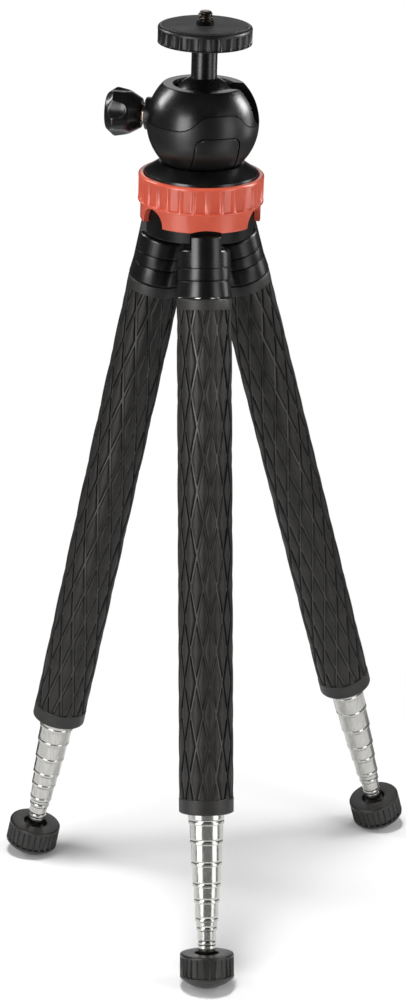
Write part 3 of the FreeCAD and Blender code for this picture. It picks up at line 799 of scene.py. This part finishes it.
def make_seam():
    """Dark sheet of painted shade along the wave where the two halves of the housing meet, a hair above them,
    standing in for the shade in the gap between them.
    """
    floor = joint("head_turn")["pos_m"][2] / mm
    middle = floor + housing_centre
    arc = [math.radians(1.5 * step - 2) for step in range(19)]
    outer = housing_radius + skin
    inner = housing_radius - seam_depth
    outside = [(math.cos(rise) * outer, middle + math.sin(rise) * outer) for rise in arc]
    inside = [(math.cos(rise) * inner, middle + math.sin(rise) * inner) for rise in reversed(arc)]
    seam = put(turned("housing_seam", outside + inside, 128), head_place())
    low = floor + seam_height + half_gap - seam_width / 2
    high = low + wave_height
    wave = chain("wave_cutter", soften([
        (-30, low),
        (-wave_foot, low, wave_round),
        (-wave_crest, high, wave_round),
        (wave_crest, high, wave_round),
        (wave_foot, low, wave_round),
        (30, low),
    ]))
    bpy.ops.mesh.select_all(action="SELECT")
    bpy.ops.transform.translate(value=(0, 30 * mm, 0))
    bpy.ops.mesh.extrude_edges_move(TRANSFORM_OT_translate={"value": (0, 0, seam_width * mm)})
    bpy.ops.mesh.select_all(action="SELECT")
    bpy.ops.mesh.extrude_region_move(TRANSFORM_OT_translate={"value": (0, -60 * mm, 0)})
    close_up()
    turn = Matrix.Rotation(math.radians(wave_azimuth), 4, "Z")
    cut(seam, put(wave, head_place() @ turn), "INTERSECT")
    for azimuth, bore in ((slot_azimuth, slot_bore), (slot_azimuth + 180, nut_bore)):
        arch(seam, azimuth, (bore[0], bore[0] + bore[1]), floor)
    dress(smooth(seam, 40), "painted_shade_black", "head", "satin_black_alloy")


def make_knob():
    """The flared knob with the edges of its scoops melted together."""
    knob = copy_of(frame["nodes"]["lock_knob"], "lock_knob_soft")
    bpy.ops.object.mode_set(mode="EDIT")
    bpy.ops.mesh.select_all(action="SELECT")
    bpy.ops.mesh.remove_doubles(threshold=fine)
    bpy.ops.object.mode_set(mode="OBJECT")
    apply_modifier(knob, "REMESH", mode="VOXEL", voxel_size=knob_voxel * mm)
    apply_modifier(knob, "SMOOTH", factor=0.6, iterations=14)
    dress(smooth(knob, 70), "gloss_black_plastic", "knob", "gloss_black_plastic", "lock_knob")


def make_knuckle_rings():
    """Lower part of each knuckle, with two turned grooves whose lips catch the light."""
    low = heights("front_knuckle", leg_place("front"))[0]
    foot = reach_at("front_knuckle", leg_place("front"), low + 0.5)
    upper, lower = knuckle_grooves
    side = knuckle_radius + skin
    rings = smooth(turned("knuckle_rings", [
        (side - 0.8, -upper + 1.3),
        (side, -upper + 1.3),
        (side, -upper + 0.4, 0.18),
        (side - 0.40, -upper + 0.15),
        (side - 0.40, -upper - 0.15),
        (side, -upper - 0.4, 0.18),
        (side, -lower + 0.4, 0.18),
        (side - 0.40, -lower + 0.15),
        (side - 0.40, -lower - 0.15),
        (side + 0.02, -lower - 0.4, 0.18),
        (foot + skin, low + 0.4, 0.3),
        (foot - 0.5, low),
        (side - 0.8, low),
    ]), 50)
    for leg in LEGS:
        lower_part = put(copy_of(rings, leg + "_knuckle_rings"), leg_place(leg))
        dress(lower_part, "satin_black_alloy", leg + "_leg", "satin_black_alloy")
    scrap(rings)


def make_plate():
    """Flared plate under the head, its flange with a rounded edge that catches the light."""
    place = head_place()
    low, high = heights("base_plate", place)
    edge = reach("base_plate", place)
    neck = reach_at("base_plate", place, high)
    plate = turned("plate_flare", [
        (plate_bore, low),
        (edge, low, 0.3),
        (edge, low + 2.3, 0.1),
        (edge - 0.25, low + 3.3, 0.1),
        (neck, high, 0.3),
        (plate_bore, high),
    ])
    dress(put(smooth(plate, 25), place), "shaded_black_alloy", "hub", "satin_black_alloy", "base_plate")
    plate.data.materials.append(finishes["gloss_black_plastic"])
    bottom, top = [(low + rise) * mm for rise in plate_rim]
    for face in plate.data.polygons:
        away = face.center - place.translation
        if bottom < away.z < top and away.xy.length > (edge - 0.5) * mm:
            face.material_index = 1


def make_wheel():
    """Ribbed wheel with a rounded rim."""
    place = head_place()
    low, high = heights("camera_wheel", place)
    wheel = turned("wheel_ribs", [
        (3.4, low),
        (wheel_radius, low, 0.3),
        (wheel_radius, low + 0.4),
        (wheel_radius, low + 0.6),
        (wheel_radius, high - 1.8),
        (wheel_radius, high - 1.6),
        (wheel_radius, high, 1.2),
        (18.15, high, 0.2),
        (18.15, high - 0.6),
        (3.4, high - 0.6),
    ], rib_sides * wheel_ribs)
    press_flats(wheel, wheel_ribs, wheel_radius, wheel_rib_depth, low + 0.5, high - 1.7, wheel_hollow)
    put(smooth(wheel, 62), place)
    dress(wheel, "ribbed_black_alloy", "wheel", "satin_black_alloy", "camera_wheel")


def make_stud():
    """Threaded stud with a tapered tip, and the collar at its base."""
    place = head_place()
    low, high = heights("camera_stud", place)
    stud = threaded("stud_thread", stud_radius, stud_pitch, low, high)
    tip = turned("stud_tip", [
        (0, low - 1),
        (3.5, low - 1),
        (3.5, high - 1.9),
        (2.3, high - 0.27),
        (1.9, high - 0.02),
        (0, high - 0.02),
    ])
    cut(stud, tip, "INTERSECT")
    dress(put(smooth(stud, 25), place), "dark_steel", "ball", "dark_steel", "camera_stud")
    pad_top = heights("wheel_pad", place)[1]
    collar = turned("stud_collar", [
        (2.4, pad_top - 0.6),
        (3.8, pad_top - 0.6),
        (3.8, pad_top + 0.9, 0.35),
        (3.3, pad_top + 1.6, 0.2),
        (2.4, pad_top + 1.6),
    ], 64)
    # The collar is nearly black and matte: painted shade at the base of the stud.
    dress(put(smooth(collar), place), "painted_shade_black", "ball", "dark_steel")


# Stage: floor, light and camera

def seen(nodes, links):
    """1 for what is seen, also in a reflection or through a clear material, 0 for light that falls."""
    ray = nodes.new("ShaderNodeLightPath")
    mirrored = nodes.new("ShaderNodeMath")
    mirrored.operation = "MAXIMUM"
    links.new(ray.outputs["Is Camera Ray"], mirrored.inputs[0])
    links.new(ray.outputs["Is Glossy Ray"], mirrored.inputs[1])
    through = nodes.new("ShaderNodeMath")
    through.operation = "MAXIMUM"
    links.new(mirrored.outputs[0], through.inputs[0])
    links.new(ray.outputs["Is Transmission Ray"], through.inputs[1])
    return through.outputs[0]


def make_floor():
    """Pale floor with the tripod's shadow, plain white further out."""
    deselect()
    bpy.ops.mesh.primitive_plane_add(size=60, location=(0, 0, 0))
    floor = named("floor")
    material, nodes, links, shader = new_material("pale_floor")
    shader.inputs["Base Color"].default_value = (1, 1, 1, 1)
    shader.inputs["Roughness"].default_value = 0.9
    shader.inputs["Specular IOR Level"].default_value = 0.1
    place = nodes.new("ShaderNodeTexCoord")
    distance = nodes.new("ShaderNodeVectorMath")
    distance.operation = "LENGTH"
    links.new(place.outputs["Object"], distance.inputs[0])
    far = nodes.new("ShaderNodeMapRange")
    far.inputs["From Min"].default_value = white_floor[0]
    far.inputs["From Max"].default_value = white_floor[1]
    far.interpolation_type = "SMOOTHSTEP"
    links.new(distance.outputs["Value"], far.inputs["Value"])
    share = nodes.new("ShaderNodeMath")
    share.operation = "MULTIPLY"
    links.new(far.outputs["Result"], share.inputs[0])
    links.new(seen(nodes, links), share.inputs[1])
    white = nodes.new("ShaderNodeEmission")
    blend = nodes.new("ShaderNodeMixShader")
    links.new(share.outputs[0], blend.inputs["Fac"])
    links.new(shader.outputs["BSDF"], blend.inputs[1])
    links.new(white.outputs["Emission"], blend.inputs[2])
    links.new(blend.outputs["Shader"], nodes["Material Output"].inputs["Surface"])
    floor.data.materials.append(material)


def make_world():
    """Even pale light from all round, white where it is seen."""
    world = bpy.data.worlds.new("studio")
    bpy.context.scene.world = world
    world.use_nodes = True
    nodes = world.node_tree.nodes
    links = world.node_tree.links
    strength = nodes.new("ShaderNodeMapRange")
    strength.inputs["To Min"].default_value = world_light
    strength.inputs["To Max"].default_value = 1.0
    links.new(seen(nodes, links), strength.inputs["Value"])
    links.new(strength.outputs["Result"], nodes["Background"].inputs["Strength"])
    nodes["Background"].inputs["Color"].default_value = (1, 1, 1, 1)


def way_to(azimuth, rise):
    """Direction from the tripod, its azimuth counted in degrees to the right of the camera."""
    turn = math.radians(azimuth) - camera_yaw
    lift = math.radians(rise)
    return Vector((math.sin(turn) * math.cos(lift), -math.cos(turn) * math.cos(lift), math.sin(lift)))


def softbox(name, azimuth, rise, distance, width, height, watts):
    """Soft lamp, aimed at the middle of the tripod."""
    deselect()
    way = way_to(azimuth, rise)
    aim = head_place().translation + Vector((0, 0, 0.2))
    bpy.ops.object.light_add(type="AREA", location=aim + way * distance)
    lamp = bpy.context.object
    lamp.name = name
    lamp.rotation_euler = way.to_track_quat("Z", "Y").to_euler()
    lamp.data.shape = "RECTANGLE"
    lamp.data.size = width
    lamp.data.size_y = height
    lamp.data.energy = watts
    lamp.visible_glossy = False


def wall(name, left, right, low, high, shade, radius=0.36, inner=None):
    """Card curved round the tripod between two azimuths, upright or lying."""
    panel = chain(name, [((inner or radius) / mm, low / mm), (radius / mm, high / mm)])
    bpy.ops.mesh.select_all(action="SELECT")
    bpy.ops.mesh.spin(steps=max(2, round((right - left) / 6)), angle=math.radians(right - left),
                      center=(0, 0, 0), axis=(0, 0, 1))
    close_up()
    panel.rotation_euler.z = math.radians(right - 90) - camera_yaw
    apply_place(panel)
    glow(put(panel, head_place()), shade)


def glow(panel, shade):
    """Make a panel shine at one level, seen by reflections alone."""
    material, nodes, links = new_material(panel.name)[:3]
    light = nodes.new("ShaderNodeEmission")
    light.inputs["Strength"].default_value = shade
    links.new(light.outputs["Emission"], nodes["Material Output"].inputs["Surface"])
    panel.data.materials.append(material)
    panel.visible_camera = False
    panel.visible_diffuse = False
    panel.visible_transmission = False
    panel.visible_volume_scatter = False
    panel.visible_shadow = False


# Name, azimuth and rise in degrees, distance, width, height, watts

LAMPS = (
    ("lamp_front_left", -43, 10, 1.6, 0.50, 0.95, 9.5),
    ("lamp_front_right", 55, 10, 1.6, 0.50, 0.95, 8),
    ("lamp_rim_left", -105, 24, 1.4, 0.30, 0.42, 4.5),
    ("lamp_rim_right", 105, 20, 1.4, 0.28, 0.55, 3.5),
    ("lamp_top", -42, 82.8, 1.6, 0.36, 0.36, 18),
)

# Name, azimuth from and to, height from and to, level, and radius and inner radius where they differ

CARDS = (
    ("card_front_low", -24, 36, 0, 0.14, 0.27),
    ("card_front", -24, 36, 0.14, 0.66, 0.02),
    ("card_box_left_low", -58, -24, 0, 0.14, 3.2),
    ("card_box_left_wide", -64, -24, 0.14, 0.50, 0.5),
    ("card_box_left", -50, -26, 0.14, 0.24, 2.3, 0.35),
    ("card_box_left_mid", -50, -26, 0.24, 0.30, 6.6, 0.35),
    ("card_box_left_top", -50, -26, 0.30, 0.48, 9.0, 0.35),
    ("card_box_right_low", 38, 66, 0, 0.14, 2.6),
    ("card_box_right_wide", 36, 76, 0.14, 0.50, 0.4),
    ("card_box_right", 44, 64, 0.14, 0.24, 1.3, 0.35),
    ("card_box_right_top", 44, 64, 0.24, 0.46, 3.0, 0.35),
    ("card_side_left_low", -144, -58, 0, 0.14, 0.24),
    ("card_side_left", -144, -64, 0.14, 0.66, 0.12),
    ("card_side_right_low", 66, 144, 0, 0.14, 0.20),
    ("card_side_right", 76, 144, 0.14, 0.66, 0.12),
    ("card_back_left", -168, -144, 0, 0.62, 0.04),
    ("card_back_right", 144, 168, 0, 0.62, 0.04),
    ("card_edge_left", -176, -118, 0, 0.045, 0.10, 0.16),
    ("card_edge_right", 118, 176, 0, 0.045, 0.30, 0.16),
    ("card_floor_left", -64, -12, 0.004, 0.004, 0.35, 0.35, 0.21),
    ("card_floor_right", -12, 76, 0.004, 0.004, 0.10, 0.35, 0.21),
    ("card_rim_left", -118, -101, 0.44, 0.63, 17, 0.33),
    ("card_rim_right", 92, 112, 0.24, 0.42, 3.5, 0.33),
    ("card_rim_right_top", 95, 112, 0.42, 0.58, 28, 0.33),
)


def make_lamps():
    """The soft lamps, and the cards and ceiling that reflections see of the studio."""
    for lamp in LAMPS:
        softbox(*lamp)
    for card in CARDS:
        wall(*card)
    deselect()
    bpy.ops.mesh.primitive_plane_add(size=0.9, location=(0, 0, 0.66))
    glow(apply_place(named("card_ceiling")), 0.02)


def make_camera():
    """Camera at the photograph's place, level apart from a small roll."""
    toward = Vector((-math.sin(camera_yaw), -math.cos(camera_yaw), 0))
    right = Vector((math.cos(camera_yaw), -math.sin(camera_yaw), 0))
    aim = head_place().translation + right * camera_aim_side + Vector((0, 0, camera_aim_height))
    back = toward * math.cos(camera_rise) + Vector((0, 0, math.sin(camera_rise)))
    up = back.cross(right)
    rolled_right = right * math.cos(camera_roll) + up * math.sin(camera_roll)
    rolled_up = up * math.cos(camera_roll) - right * math.sin(camera_roll)
    bpy.ops.object.camera_add()
    camera = bpy.context.object
    axes = Matrix((rolled_right, rolled_up, back)).transposed().to_4x4()
    camera.matrix_world = Matrix.Translation(aim + back * camera_distance) @ axes
    camera.data.lens = camera_lens
    camera.data.sensor_width = 36
    camera.data.clip_end = 200
    bpy.context.scene.camera = camera


finish_nodes()
make_grips()
make_tubes()
make_feet()
make_stubs()
make_ring()
make_wheel()
make_stud()
make_plate()
make_panel()
make_seam()
make_knob()
make_knuckle_rings()
# The hub takes the darker, less glossy copy of the satin black: painted shade for the shade that the ring and the
# knuckles throw on it.
frame["nodes"]["leg_hub"].data.materials[0] = finishes["shaded_black_alloy"]
frame["nodes"]["lower_housing"].data.materials[0] = finishes["grained_black_alloy"]
make_floor()
make_world()
make_lamps()
make_camera()

bpy.context.scene.view_settings.view_transform = "Standard"
